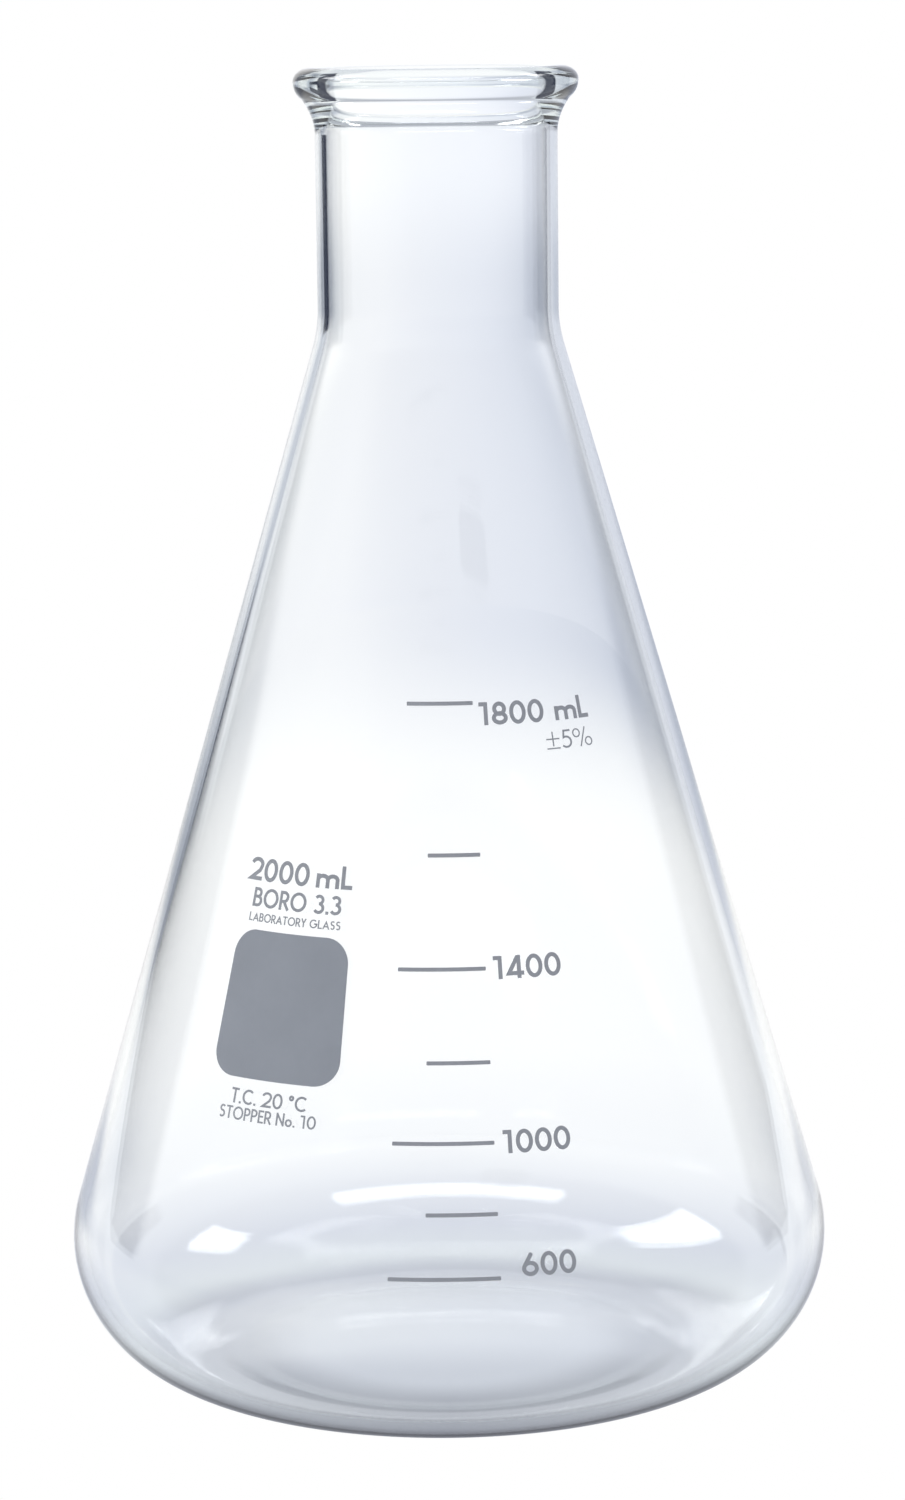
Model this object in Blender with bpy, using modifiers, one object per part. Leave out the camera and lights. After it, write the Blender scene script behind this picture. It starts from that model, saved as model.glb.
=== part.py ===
"""Erlenmeyer flask, 2000 mL, narrow mouth with a beaded lip.

The flask is one piece of blown borosilicate glass, turned about the Z axis. Its scale, lettering and
marking spot are islands of grey enamel fired onto the front of the cone. The origin is the centre of the
circle that the base stands on, +Z is up, and the front of the scale faces -Y. Units are metres; flat
artwork for the enamel is drawn in millimetres before it is wrapped around the cone.
"""

import math

import bmesh
import bpy
from mathutils import Vector

# Glass, outside
HEIGHT = 0.2715
BODY_RADIUS = 0.0798
HEEL_RADIUS = 0.0289
CONE_ANGLE = math.radians(16.5)
SHOULDER_RADIUS = 0.0260
NECK_RADIUS = 0.0246
STANDING_RING_INNER = 0.0440
BASE_PUSH_UP = 0.0020

# Glass, thickness
WALL = 0.0022
HEEL_WALL = 0.0028
FLOOR_TOP = 0.0052

# Lip: a full round bead over a collar that tapers into the neck
BEAD_CREST_RADIUS = 0.0253
BEAD_WIDEST_RADIUS = 0.0289
BEAD_WIDEST_DEPTH = 0.0027
BEAD_UNDERSIDE = 0.0042
BEAD_END = math.radians(-60)
COLLAR_LENGTH = 0.0070
BORE_EDGE_DEPTH = 0.0075

SEGMENTS = 72

# Enamel
PRINT_GAP = 0.0003
PRINT_THICKNESS = 0.0002
# At each line the flask holds a little more than the figure says, inside the printed tolerance
SCALE_MARGIN = 1.029
GRADUATIONS_ML = (600, 800, 1000, 1200, 1400, 1600, 1800)
NUMBERED_ML = (600, 1000, 1400, 1800)
SCALE_RIGHT = math.radians(7.4)
LONG_LINE_LEFT = math.radians(-9.0)
SHORT_LINE_LEFT = math.radians(-3.55)
LINE_WIDTH_MM = 0.8
LINE_STEP_MM = 1.6
NUMERAL_START = math.radians(8.8)
# The lowest figure starts this much further right than the others
LOWEST_NUMERAL_INDENT = math.radians(1.75)
NUMERAL_HEIGHT = 0.0046
NUMERAL_STROKE_MM = 0.82
# How far a numeral's foot stands below its line, as a share of the numeral's height
NUMERAL_DROP = {600: 0.0, 1000: 0.5, 1400: 0.5, 1800: 1.0}
UNIT_START = math.radians(28.5)
TOLERANCE_START = math.radians(25.2)
TOLERANCE_DROP = 0.0054
TOLERANCE_HEIGHT = 0.0037
TOLERANCE_STROKE_MM = 0.40
# The signs are drawn finer than the figure between them
TOLERANCE_SIGN_STROKE_MM = 0.28
LABEL_CENTRE = math.radians(-31.5)
CAPACITY_BASELINE = 0.1127
SPOT_BOTTOM = 0.0750
SPOT_TOP = 0.1033
SPOT_HALF_ANGLE = math.radians(12.85)
SPOT_CORNER_MM = 5.3
SPOT_SQUARES = (20, 8)

MM = 0.001
CURVE_POINTS = 28


def turned(angle_from, angle_to, count):
    """Evenly spaced angles, both ends included."""
    return [angle_from + (angle_to - angle_from) * i / (count - 1) for i in range(count)]


def heel_centre():
    return BODY_RADIUS - HEEL_RADIUS, HEEL_RADIUS


def cone_foot():
    """Where the heel's arc runs into the straight cone."""
    centre_r, centre_z = heel_centre()
    return (
        centre_r + HEEL_RADIUS * math.cos(CONE_ANGLE),
        centre_z + HEEL_RADIUS * math.sin(CONE_ANGLE),
    )


def cone_radius(z):
    """Outer radius of the straight cone at height z."""
    foot_r, foot_z = cone_foot()
    return foot_r - (z - foot_z) * math.tan(CONE_ANGLE)


def shoulder_centre():
    """Centre of the hollow arc that leads the cone into the neck."""
    foot_r, foot_z = cone_foot()
    centre_r = NECK_RADIUS + SHOULDER_RADIUS
    arc_r = centre_r - SHOULDER_RADIUS * math.cos(CONE_ANGLE)
    arc_z = foot_z + (foot_r - arc_r) / math.tan(CONE_ANGLE)
    return centre_r, arc_z + SHOULDER_RADIUS * math.sin(CONE_ANGLE)


def inside_profile():
    """(r, z) of the inner surface, from the floor's centre up to just below the lip."""
    centre_r, centre_z = heel_centre()
    points = []
    for share in turned(0.0, 1.0, 6)[:-1]:
        points.append((centre_r * share, HEEL_WALL + (FLOOR_TOP - HEEL_WALL) * (1 - share**2)))
    for angle in turned(-math.pi / 2, CONE_ANGLE, 11):
        done = (angle + math.pi / 2) / (CONE_ANGLE + math.pi / 2)
        radius = HEEL_RADIUS - HEEL_WALL - (WALL - HEEL_WALL) * done
        points.append((centre_r + radius * math.cos(angle), centre_z + radius * math.sin(angle)))
    hollow_r, hollow_z = shoulder_centre()
    for angle in turned(CONE_ANGLE, 0.0, 5):
        radius = SHOULDER_RADIUS + WALL
        points.append((hollow_r - radius * math.cos(angle), hollow_z - radius * math.sin(angle)))
    points.append((NECK_RADIUS - WALL, HEIGHT - BORE_EDGE_DEPTH))
    return points


def lip_profile():
    """(r, z) from the bore's edge over the bead and down the collar to the neck."""
    bore = NECK_RADIUS - WALL
    points = []
    for angle in turned(math.pi, math.pi / 2, 6):
        points.append(
            (
                BEAD_CREST_RADIUS + (BEAD_CREST_RADIUS - bore) * math.cos(angle),
                HEIGHT - BEAD_WIDEST_DEPTH * (1 - math.sin(angle)),
            )
        )
    bead = BEAD_WIDEST_RADIUS - BEAD_CREST_RADIUS
    for angle in turned(math.pi / 2, BEAD_END, 12)[1:]:
        rise = BEAD_WIDEST_DEPTH if angle > 0 else BEAD_UNDERSIDE
        points.append(
            (
                BEAD_CREST_RADIUS + bead * math.cos(angle),
                HEIGHT - BEAD_WIDEST_DEPTH + rise * math.sin(angle),
            )
        )
    collar_r, collar_z = points[-1]
    for share in turned(0.0, 1.0, 6)[1:]:
        points.append(
            (NECK_RADIUS + (collar_r - NECK_RADIUS) * (1 - share) ** 2, collar_z - COLLAR_LENGTH * share)
        )
    return points


def outside_profile():
    """(r, z) of the outer surface, from the top of the shoulder down to the base's centre."""
    hollow_r, hollow_z = shoulder_centre()
    points = []
    for angle in turned(0.0, CONE_ANGLE, 6):
        points.append(
            (
                hollow_r - SHOULDER_RADIUS * math.cos(angle),
                hollow_z - SHOULDER_RADIUS * math.sin(angle),
            )
        )
    centre_r, centre_z = heel_centre()
    for angle in turned(CONE_ANGLE, -math.pi / 2, 13):
        points.append(
            (centre_r + HEEL_RADIUS * math.cos(angle), centre_z + HEEL_RADIUS * math.sin(angle))
        )
    for share in turned(1.0, 0.0, 5):
        points.append((STANDING_RING_INNER * share, BASE_PUSH_UP * (1 - share**2)))
    return points


def filled_volume(profile, level):
    """Volume of liquid in the flask when it stands at this height, in cubic metres."""
    total = 0.0
    for (r1, z1), (r2, z2) in zip(profile, profile[1:]):
        if z2 > level:
            r2 += (r1 - r2) * (z2 - level) / (z2 - z1)
            z2 = level
        if z1 >= level:
            break
        total += math.pi / 3 * (r1 * r1 + r1 * r2 + r2 * r2) * (z2 - z1)
    return total


def level_of(volume_ml):
    """Height of the scale's line for this many millilitres."""
    profile = inside_profile()
    wanted = volume_ml * SCALE_MARGIN * 1e-6
    low, high = FLOOR_TOP, HEIGHT
    for _ in range(40):
        middle = (low + high) / 2
        if filled_volume(profile, middle) < wanted:
            low = middle
        else:
            high = middle
    return low


def principled(name, colour, roughness, metallic=0.0, transmission=0.0, ior=1.5):
    material = bpy.data.materials.new(name)
    material.use_nodes = True
    shader = material.node_tree.nodes["Principled BSDF"]
    shader.inputs["Base Color"].default_value = (*colour, 1.0)
    shader.inputs["Roughness"].default_value = roughness
    shader.inputs["Metallic"].default_value = metallic
    shader.inputs["Transmission Weight"].default_value = transmission
    shader.inputs["IOR"].default_value = ior
    material.diffuse_color = (*colour, 1.0)
    return material


def add_part(name, mesh, material, parts, parent, location=(0.0, 0.0, 0.0)):
    part = bpy.data.objects.new(name, mesh)
    part.location = location
    part.parent = parent
    mesh.materials.clear()
    mesh.materials.append(material)
    parts.objects.link(part)
    return part


def glass_body(parts, parent):
    """The flask, as one turned profile: up the inside, over the lip, down the outside."""
    profile = inside_profile() + lip_profile() + outside_profile()
    mesh = bpy.data.meshes.new("flask_body")
    edges = [(i, i + 1) for i in range(len(profile) - 1)]
    mesh.from_pydata([(r, 0.0, z) for r, z in profile], edges, [])
    glass = principled("borosilicate_glass", (0.93, 0.97, 0.96), 0.02, transmission=1.0, ior=1.473)
    body = add_part("flask_body", mesh, glass, parts, parent)
    screw = body.modifiers.new("turned", "SCREW")
    screw.axis = "Z"
    screw.angle = math.tau
    screw.steps = SEGMENTS
    screw.render_steps = SEGMENTS
    screw.use_merge_vertices = True
    screw.merge_threshold = 0.00001
    screw.use_smooth_shade = True
    return body


def arc(centre_x, centre_y, radius_x, radius_y, start, end, count):
    """Points on an ellipse's arc, angles in degrees."""
    return [
        (
            centre_x + radius_x * math.cos(math.radians(angle)),
            centre_y + radius_y * math.sin(math.radians(angle)),
        )
        for angle in turned(start, end, count)
    ]


def oval(left, right, bottom, top):
    """Closed centreline of an oval inside a box."""
    centre_x, centre_y = (left + right) / 2, (bottom + top) / 2
    return arc(centre_x, centre_y, (right - left) / 2, (top - bottom) / 2, 0, 360, CURVE_POINTS + 1)[:-1]


def glyph_strokes(glyph, half):
    """Strokes of one character as [(points, closed)], with cap height 1 and half a stroke's width given.

    The lettering has strokes of one even width, so each character is a few centrelines.
    """
    top = 1 - half
    if glyph == "0":
        return [(oval(half, 0.755 - half, half - 0.01, top + 0.01), True)]
    if glyph == "1":
        return [([(0.0, top), (0.39 - half, top), (0.39 - half, 0.0)], False)]
    if glyph == "2":
        bowl = arc(0.385, 0.70, 0.385 - half, 0.31 - half, 168, -20, 14)
        foot = [(half * 1.6, half), (0.76, half)]
        return [(bowl + [(0.60, 0.46)] + foot, False)]
    if glyph == "4":
        diagonal = [(0.79, 0.225), (half * 1.3, 0.225), (0.53, 1.0 - half * 0.6)]
        return [(diagonal, False), ([(0.57, 1.0), (0.57, 0.0)], False)]
    if glyph == "5":
        bowl = arc(0.29, 0.335, 0.36 - half, 0.335 - half, 118, -140, 16)
        return [([(0.60, top), (0.20, top)] + bowl, False)]
    if glyph == "6":
        stem = [(half + 0.045, 0.46), (0.45, 1.0 - half * 0.2)]
        return [(oval(half, 0.735 - half, half, 0.65 - half), True), (stem, False)]
    if glyph == "8":
        lower = oval(half, 0.71 - half, half, 0.58 - half)
        upper = oval(half + 0.045, 0.665 - half, 0.58 - half * 1.3, top)
        return [(lower, True), (upper, True)]
    if glyph == "m":
        stem = [(half, 0.0), (half, 0.62)]
        middle, right = 0.56, 1.11 - half
        first = arc((half + middle) / 2, 0.36, (middle - half) / 2, 0.26 - half, 180, 0, 12)
        second = arc((middle + right) / 2, 0.36, (right - middle) / 2, 0.26 - half, 180, 0, 12)
        return [
            (stem, False),
            (first + [(middle, 0.0)], False),
            (second + [(right, 0.0)], False),
        ]
    if glyph == "L":
        return [([(half, 1.0), (half, half), (0.52, half)], False)]
    if glyph == "plus":
        return [([(0.0, 0.55), (0.80, 0.55)], False), ([(0.40, 0.95), (0.40, 0.15)], False)]
    if glyph == "bar":
        return [([(0.0, 0.0), (0.80, 0.0)], False)]
    if glyph == "ring":
        return [(oval(half, 0.50 - half, half, 0.50 - half), True)]
    if glyph == "slash":
        return [([(0.0, 0.0), (0.42, 1.04)], False)]
    raise ValueError(glyph)


GLYPH_WIDTHS = {"0": 0.755, "1": 0.39, "2": 0.76, "4": 0.79, "6": 0.735, "8": 0.71, "m": 1.11, "L": 0.52}
LETTER_SPACE = 0.09
SPACE_AFTER_ONE = 0.17
WORD_SPACE = 0.36


def stroke_edges(points, width, closed):
    """Closed outlines of a stroke of even width, with mitred corners."""
    left, right = [], []
    count = len(points)
    for i, point in enumerate(points):
        here = Vector(point)
        before = Vector(points[i - 1]) if closed or i else None
        after = Vector(points[(i + 1) % count]) if closed or i < count - 1 else None
        back = (here - before).normalized() if before is not None else None
        ahead = (after - here).normalized() if after is not None else None
        direction = ((back or ahead) + (ahead or back)).normalized()
        normal = Vector((-direction.y, direction.x))
        mitre = 1.0 / normal.dot(Vector((-(back or ahead).y, (back or ahead).x)))
        left.append(here + normal * width / 2 * mitre)
        right.append(here - normal * width / 2 * mitre)
    return [left, right] if closed else [left + right[::-1]]


def plate(outlines, thickness):
    """Mesh of a flat outline cut from a sheet, by way of a filled 2D curve."""
    curve = bpy.data.curves.new("outline", "CURVE")
    curve.dimensions = "2D"
    curve.fill_mode = "BOTH"
    curve.extrude = thickness / 2
    for outline in outlines:
        spline = curve.splines.new("POLY")
        spline.points.add(len(outline) - 1)
        for point, place in zip(spline.points, outline):
            point.co = (place[0], place[1], 0.0, 1.0)
        spline.use_cyclic_u = True
    holder = bpy.data.objects.new("outline", curve)
    mesh = evaluated_mesh(holder)
    bpy.data.objects.remove(holder)
    bpy.data.curves.remove(curve)
    shape = bmesh.new()
    shape.from_mesh(mesh)
    bmesh.ops.remove_doubles(shape, verts=shape.verts, dist=0.0005)
    bmesh.ops.recalc_face_normals(shape, faces=shape.faces)
    shape.to_mesh(mesh)
    shape.free()
    return mesh


def evaluated_mesh(holder):
    """The object's mesh with its modifiers applied."""
    bpy.context.scene.collection.objects.link(holder)
    bpy.context.view_layer.update()
    graph = bpy.context.evaluated_depsgraph_get()
    mesh = bpy.data.meshes.new_from_object(holder.evaluated_get(graph))
    bpy.context.scene.collection.objects.unlink(holder)
    return mesh


def joined(meshes):
    """One mesh from strokes that cross, by a Boolean union."""
    if len(meshes) == 1:
        return meshes[0]
    holder = bpy.data.objects.new("strokes", meshes[0])
    others = []
    for mesh in meshes[1:]:
        other = bpy.data.objects.new("stroke", mesh)
        other.hide_render = True
        bpy.context.scene.collection.objects.link(other)
        union = holder.modifiers.new("union", "BOOLEAN")
        union.operation = "UNION"
        union.solver = "EXACT"
        union.object = other
        others.append(other)
    mesh = evaluated_mesh(holder)
    for unused in [holder, *others]:
        bpy.data.objects.remove(unused)
    return mesh


def on_cone(x_mm, y_mm, lift, line_angle, line_z):
    """Point of flat artwork wrapped around the cone: x runs round it, y up its slope, lift off it."""
    angle = line_angle + x_mm * MM / cone_radius(line_z)
    z = line_z + y_mm * MM * math.cos(CONE_ANGLE)
    r = cone_radius(z) + lift * math.cos(CONE_ANGLE)
    return Vector((r * math.sin(angle), -r * math.cos(angle), z + lift * math.sin(CONE_ANGLE)))


def print_island(name, strokes, stroke_mm, line_angle, line_z, enamel, parts, parent):
    """One island of enamel: its strokes as plates, united, then wrapped around the cone."""
    thickness_mm = PRINT_THICKNESS / MM
    meshes = [plate(stroke_edges(points, stroke_mm, closed), thickness_mm) for points, closed in strokes]
    mesh = joined(meshes)
    mesh.name = name
    origin = on_cone(0.0, 0.0, PRINT_GAP, line_angle, line_z)
    for vertex in mesh.vertices:
        lift = PRINT_GAP + (vertex.co.z + thickness_mm / 2) * MM
        vertex.co = on_cone(vertex.co.x, vertex.co.y, lift, line_angle, line_z) - origin
    return add_part(name, mesh, enamel, parts, parent, origin)


def scaled_strokes(glyph, height_mm, stroke_mm, x_mm):
    """A character's strokes in millimetres, moved along its line."""
    half = stroke_mm / height_mm / 2
    return [
        ([(x_mm + x * height_mm, y * height_mm) for x, y in points], closed)
        for points, closed in glyph_strokes(glyph, half)
    ]


def print_line(prefix, text, height, stroke_mm, line_angle, line_z, enamel, parts, parent):
    """A run of characters, each one its own island."""
    x_mm = 0.0
    for place, glyph in enumerate(text, start=1):
        strokes = scaled_strokes(glyph, height / MM, stroke_mm, x_mm)
        name = f"{prefix}_{place}_{glyph}"
        print_island(name, strokes, stroke_mm, line_angle, line_z, enamel, parts, parent)
        space = SPACE_AFTER_ONE if glyph == "1" else LETTER_SPACE
        x_mm += (GLYPH_WIDTHS[glyph] + space) * height / MM


def line_width_mm(text, height):
    """Length of a run of characters that holds no 1."""
    width = sum(GLYPH_WIDTHS[glyph] + LETTER_SPACE for glyph in text) - LETTER_SPACE
    return width * height / MM


def patch(name, size_mm, corner_mm, squares, line_angle, line_z, enamel, parts, parent):
    """A rectangle of enamel with rounded corners, wrapped around the cone and centred on a point of it."""
    half_width_mm, half_height_mm = size_mm[0] / 2, size_mm[1] / 2
    origin = on_cone(0.0, 0.0, PRINT_GAP, line_angle, line_z)
    grid = bmesh.new()
    bmesh.ops.create_grid(grid, x_segments=squares[0], y_segments=squares[1], size=1.0)
    for vertex in grid.verts:
        x_mm = half_width_mm * math.sin(vertex.co.x * math.pi / 2)
        past_corner = max(0.0, abs(x_mm) - (half_width_mm - corner_mm))
        drop_mm = corner_mm - math.sqrt(max(0.0, corner_mm**2 - past_corner**2))
        y_mm = vertex.co.y * (half_height_mm - drop_mm)
        vertex.co = on_cone(x_mm, y_mm, PRINT_GAP, line_angle, line_z) - origin
    bmesh.ops.recalc_face_normals(grid, faces=grid.faces)
    outward = Vector((math.sin(line_angle), -math.cos(line_angle), 0.0))
    if next(iter(grid.faces)).normal.dot(outward) < 0:
        bmesh.ops.reverse_faces(grid, faces=grid.faces)
    mesh = bpy.data.meshes.new(name)
    grid.to_mesh(mesh)
    grid.free()
    island = add_part(name, mesh, enamel, parts, parent, origin)
    coat = island.modifiers.new("enamel_coat", "SOLIDIFY")
    coat.thickness = PRINT_THICKNESS
    coat.offset = 1.0
    return island


def graduations(enamel, parts, parent):
    """Scale lines, each at the height where the flask holds its volume."""
    for volume in GRADUATIONS_ML:
        z = level_of(volume)
        left = LONG_LINE_LEFT if volume in NUMBERED_ML else SHORT_LINE_LEFT
        length_mm = (SCALE_RIGHT - left) * cone_radius(z) / MM
        squares = (math.ceil(length_mm / LINE_STEP_MM), 1)
        name = f"graduation_{volume:04d}_ml"
        middle = (left + SCALE_RIGHT) / 2
        patch(name, (length_mm, LINE_WIDTH_MM), 0.0, squares, middle, z, enamel, parts, parent)


def numerals(enamel, parts, parent):
    """Volume figures to the right of the numbered lines, and the unit beside the top one."""
    for volume in NUMBERED_ML:
        drop = NUMERAL_DROP[volume] * NUMERAL_HEIGHT * math.cos(CONE_ANGLE)
        foot = level_of(volume) - drop
        args = (NUMERAL_HEIGHT, NUMERAL_STROKE_MM)
        start = NUMERAL_START + (LOWEST_NUMERAL_INDENT if volume == min(NUMBERED_ML) else 0.0)
        print_line(f"numeral_{volume:04d}", str(volume), *args, start, foot, enamel, parts, parent)
        if volume == max(NUMBERED_ML):
            print_line("unit_scale", "mL", *args, UNIT_START, foot, enamel, parts, parent)


def tolerance(enamel, parts, parent):
    """The scale's accuracy, in finer strokes below the unit: plus or minus five per cent."""
    drop = NUMERAL_HEIGHT * math.cos(CONE_ANGLE) + TOLERANCE_DROP
    foot = level_of(max(NUMBERED_ML)) - drop
    height_mm = TOLERANCE_HEIGHT / MM
    # Node, character, place along the line and above it in heights, stroke
    pieces = (
        ("plus", "plus", 0.0, 0.0, TOLERANCE_SIGN_STROKE_MM),
        ("bar", "bar", 0.0, 0.04, TOLERANCE_SIGN_STROKE_MM),
        ("five", "5", 0.92, 0.0, TOLERANCE_STROKE_MM),
        ("percent_upper_ring", "ring", 1.67, 0.50, TOLERANCE_SIGN_STROKE_MM),
        ("percent_slash", "slash", 2.11, 0.0, TOLERANCE_SIGN_STROKE_MM),
        ("percent_lower_ring", "ring", 2.42, 0.0, TOLERANCE_SIGN_STROKE_MM),
    )
    for name, glyph, x, y, stroke_mm in pieces:
        strokes = [
            ([(px, py + y * height_mm) for px, py in points], closed)
            for points, closed in scaled_strokes(glyph, height_mm, stroke_mm, x * height_mm)
        ]
        name = f"tolerance_{name}"
        print_island(name, strokes, stroke_mm, TOLERANCE_START, foot, enamel, parts, parent)


def capacity_line(enamel, parts, parent):
    """The nominal capacity, centred over the marking spot."""
    word_space_mm = WORD_SPACE * NUMERAL_HEIGHT / MM
    figures_mm = line_width_mm("2000", NUMERAL_HEIGHT)
    unit_mm = line_width_mm("mL", NUMERAL_HEIGHT)
    radius_mm = cone_radius(CAPACITY_BASELINE) / MM
    start = LABEL_CENTRE - (figures_mm + word_space_mm + unit_mm) / 2 / radius_mm
    unit_start = start + (figures_mm + word_space_mm) / radius_mm
    args = (NUMERAL_HEIGHT, NUMERAL_STROKE_MM)
    place = (CAPACITY_BASELINE, enamel, parts, parent)
    print_line("capacity", "2000", *args, start, *place)
    print_line("unit_capacity", "mL", *args, unit_start, *place)


def marking_spot(enamel, parts, parent):
    """The matt enamel spot for pencil notes."""
    middle = (SPOT_BOTTOM + SPOT_TOP) / 2
    width_mm = 2 * SPOT_HALF_ANGLE * cone_radius(middle) / MM
    height_mm = (SPOT_TOP - SPOT_BOTTOM) / math.cos(CONE_ANGLE) / MM
    place = (LABEL_CENTRE, middle, enamel, parts, parent)
    patch("marking_spot", (width_mm, height_mm), SPOT_CORNER_MM, SPOT_SQUARES, *place)


def build():
    for obj in list(bpy.data.objects):
        bpy.data.objects.remove(obj)
    parts = bpy.data.collections.new("erlenmeyer_flask")
    bpy.context.scene.collection.children.link(parts)
    frame = bpy.data.objects.new("flask_frame", None)
    parts.objects.link(frame)
    lettering = principled("lettering_enamel", (0.235, 0.245, 0.265), 0.45)
    scale = principled("graduation_enamel", (0.235, 0.245, 0.265), 0.45)
    matt = principled("marking_spot_enamel", (0.26, 0.27, 0.29), 0.7)
    glass_body(parts, frame)
    graduations(scale, parts, frame)
    numerals(lettering, parts, frame)
    tolerance(lettering, parts, frame)
    capacity_line(lettering, parts, frame)
    marking_spot(matt, parts, frame)
    for obj in parts.objects:
        if obj.type == "MESH" and obj.name != "flask_body":
            obj.data.set_sharp_from_angle(angle=math.radians(40))


build()
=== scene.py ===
import math

import bmesh
import bpy
from mathutils import Matrix, Vector, noise


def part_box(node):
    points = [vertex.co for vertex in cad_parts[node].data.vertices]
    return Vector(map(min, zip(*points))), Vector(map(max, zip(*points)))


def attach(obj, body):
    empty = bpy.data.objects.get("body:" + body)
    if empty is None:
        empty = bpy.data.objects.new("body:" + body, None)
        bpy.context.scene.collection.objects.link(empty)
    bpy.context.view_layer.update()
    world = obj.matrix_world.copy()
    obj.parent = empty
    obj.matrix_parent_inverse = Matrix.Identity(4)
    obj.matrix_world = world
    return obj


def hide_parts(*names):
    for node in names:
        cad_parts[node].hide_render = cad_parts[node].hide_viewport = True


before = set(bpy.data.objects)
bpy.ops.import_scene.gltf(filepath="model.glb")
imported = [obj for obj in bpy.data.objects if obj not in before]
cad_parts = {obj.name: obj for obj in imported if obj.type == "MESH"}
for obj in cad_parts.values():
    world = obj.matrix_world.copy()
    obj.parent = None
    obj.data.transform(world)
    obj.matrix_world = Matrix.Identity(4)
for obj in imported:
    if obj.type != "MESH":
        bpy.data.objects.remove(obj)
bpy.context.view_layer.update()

MM = 0.001


# Flask body
# One gather of borosilicate glass, machine-blown in a turning mould: base, heel, cone, shoulder and neck are
# a single wall, and the lip is a bead rolled while hot. The outside is true to the mould, and the inside
# waves by a few hundredths of a millimetre.

_, body_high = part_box("flask_body")
height = body_high.z
body_radius = body_high.x
heel_radius = 28.9 * MM
cone_angle = math.radians(16.5)
shoulder_radius = 26.0 * MM
neck_radius = 24.6 * MM
wall = 2.2 * MM
heel_wall = 2.8 * MM
floor_top = 5.2 * MM
ring_inner = 44.0 * MM
push_up = 2.0 * MM
bore_radius = neck_radius - wall
bead_crest_radius = 25.3 * MM
bead_widest_radius = 28.9 * MM
bead_widest_depth = 2.7 * MM
bead_underside = 4.2 * MM
collar_length = 7.0 * MM
bore_edge_depth = 7.5 * MM
around = 288
wave_depth = 0.03 * MM
wave_turns = 1.1
wave_per_metre = 9.0
still_below = 30 * MM
floor_fade_length = 40 * MM
still_above_depth = 40 * MM
bore_fade_length = 30 * MM
glass_ior = 1.473
glass_tint = (0.50, 0.66, 0.63)
tint_density = 20.0
haze_roughness = 0.03


def spread(first, last, count):
    """Evenly spaced numbers, both ends included."""
    return [first + (last - first) * i / (count - 1) for i in range(count)]


heel_r = body_radius - heel_radius
foot_r = heel_r + heel_radius * math.cos(cone_angle)
foot_z = heel_radius * (1 + math.sin(cone_angle))


def cone_radius(z):
    """Outer radius of the straight cone at height z."""
    return foot_r - (z - foot_z) * math.tan(cone_angle)


hollow_r = neck_radius + shoulder_radius
hollow_z = (
    foot_z
    + (foot_r - hollow_r + shoulder_radius * math.cos(cone_angle)) / math.tan(cone_angle)
    + shoulder_radius * math.sin(cone_angle)
)


def inner_side():
    """(r, z) of the inside, from the floor's centre up to the bore."""
    points = []
    for share in spread(0.0, 1.0, 26)[:-1]:
        points.append((heel_r * share, heel_wall + (floor_top - heel_wall) * (1 - share**2)))
    for angle in spread(-math.pi / 2, cone_angle, 40):
        done = (angle + math.pi / 2) / (cone_angle + math.pi / 2)
        radius = heel_radius - heel_wall - (wall - heel_wall) * done
        points.append((heel_r + radius * math.cos(angle), heel_radius + radius * math.sin(angle)))
    first_r, first_z = points[-1]
    radius = shoulder_radius + wall
    last_r = hollow_r - radius * math.cos(cone_angle)
    last_z = hollow_z - radius * math.sin(cone_angle)
    for share in spread(0.0, 1.0, 60)[1:-1]:
        points.append((first_r + (last_r - first_r) * share, first_z + (last_z - first_z) * share))
    for angle in spread(cone_angle, 0.0, 14):
        points.append((hollow_r - radius * math.cos(angle), hollow_z - radius * math.sin(angle)))
    for z in spread(hollow_z, height - bore_edge_depth, 22)[1:]:
        points.append((bore_radius, z))
    return points


def lip_side():
    """(r, z) from the bore's edge over the bead and down the collar to the neck."""
    points = []
    for angle in spread(math.pi, math.pi / 2, 14):
        across = (bead_crest_radius - bore_radius) * math.cos(angle)
        points.append((bead_crest_radius + across, height - bead_widest_depth * (1 - math.sin(angle))))
    bead = bead_widest_radius - bead_crest_radius
    for angle in spread(math.pi / 2, math.radians(-60), 30)[1:]:
        rise = bead_widest_depth if angle > 0 else bead_underside
        z = height - bead_widest_depth + rise * math.sin(angle)
        points.append((bead_crest_radius + bead * math.cos(angle), z))
    collar_r, collar_z = points[-1]
    for share in spread(0.0, 1.0, 16)[1:]:
        r = neck_radius + (collar_r - neck_radius) * (1 - share) ** 2
        points.append((r, collar_z - collar_length * share))
    return points


def outer_side():
    """(r, z) from the top of the shoulder down to the base's centre."""
    points = []
    for angle in spread(0.0, cone_angle, 12):
        r = hollow_r - shoulder_radius * math.cos(angle)
        points.append((r, hollow_z - shoulder_radius * math.sin(angle)))
    first_r, first_z = points[-1]
    for share in spread(0.0, 1.0, 40)[1:-1]:
        points.append((first_r + (foot_r - first_r) * share, first_z + (foot_z - first_z) * share))
    for angle in spread(cone_angle, -math.pi / 2, 44):
        points.append((heel_r + heel_radius * math.cos(angle), heel_radius * (1 + math.sin(angle))))
    for share in spread(1.0, 0.0, 20):
        points.append((ring_inner * share, push_up * (1 - share**2)))
    return points


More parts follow.
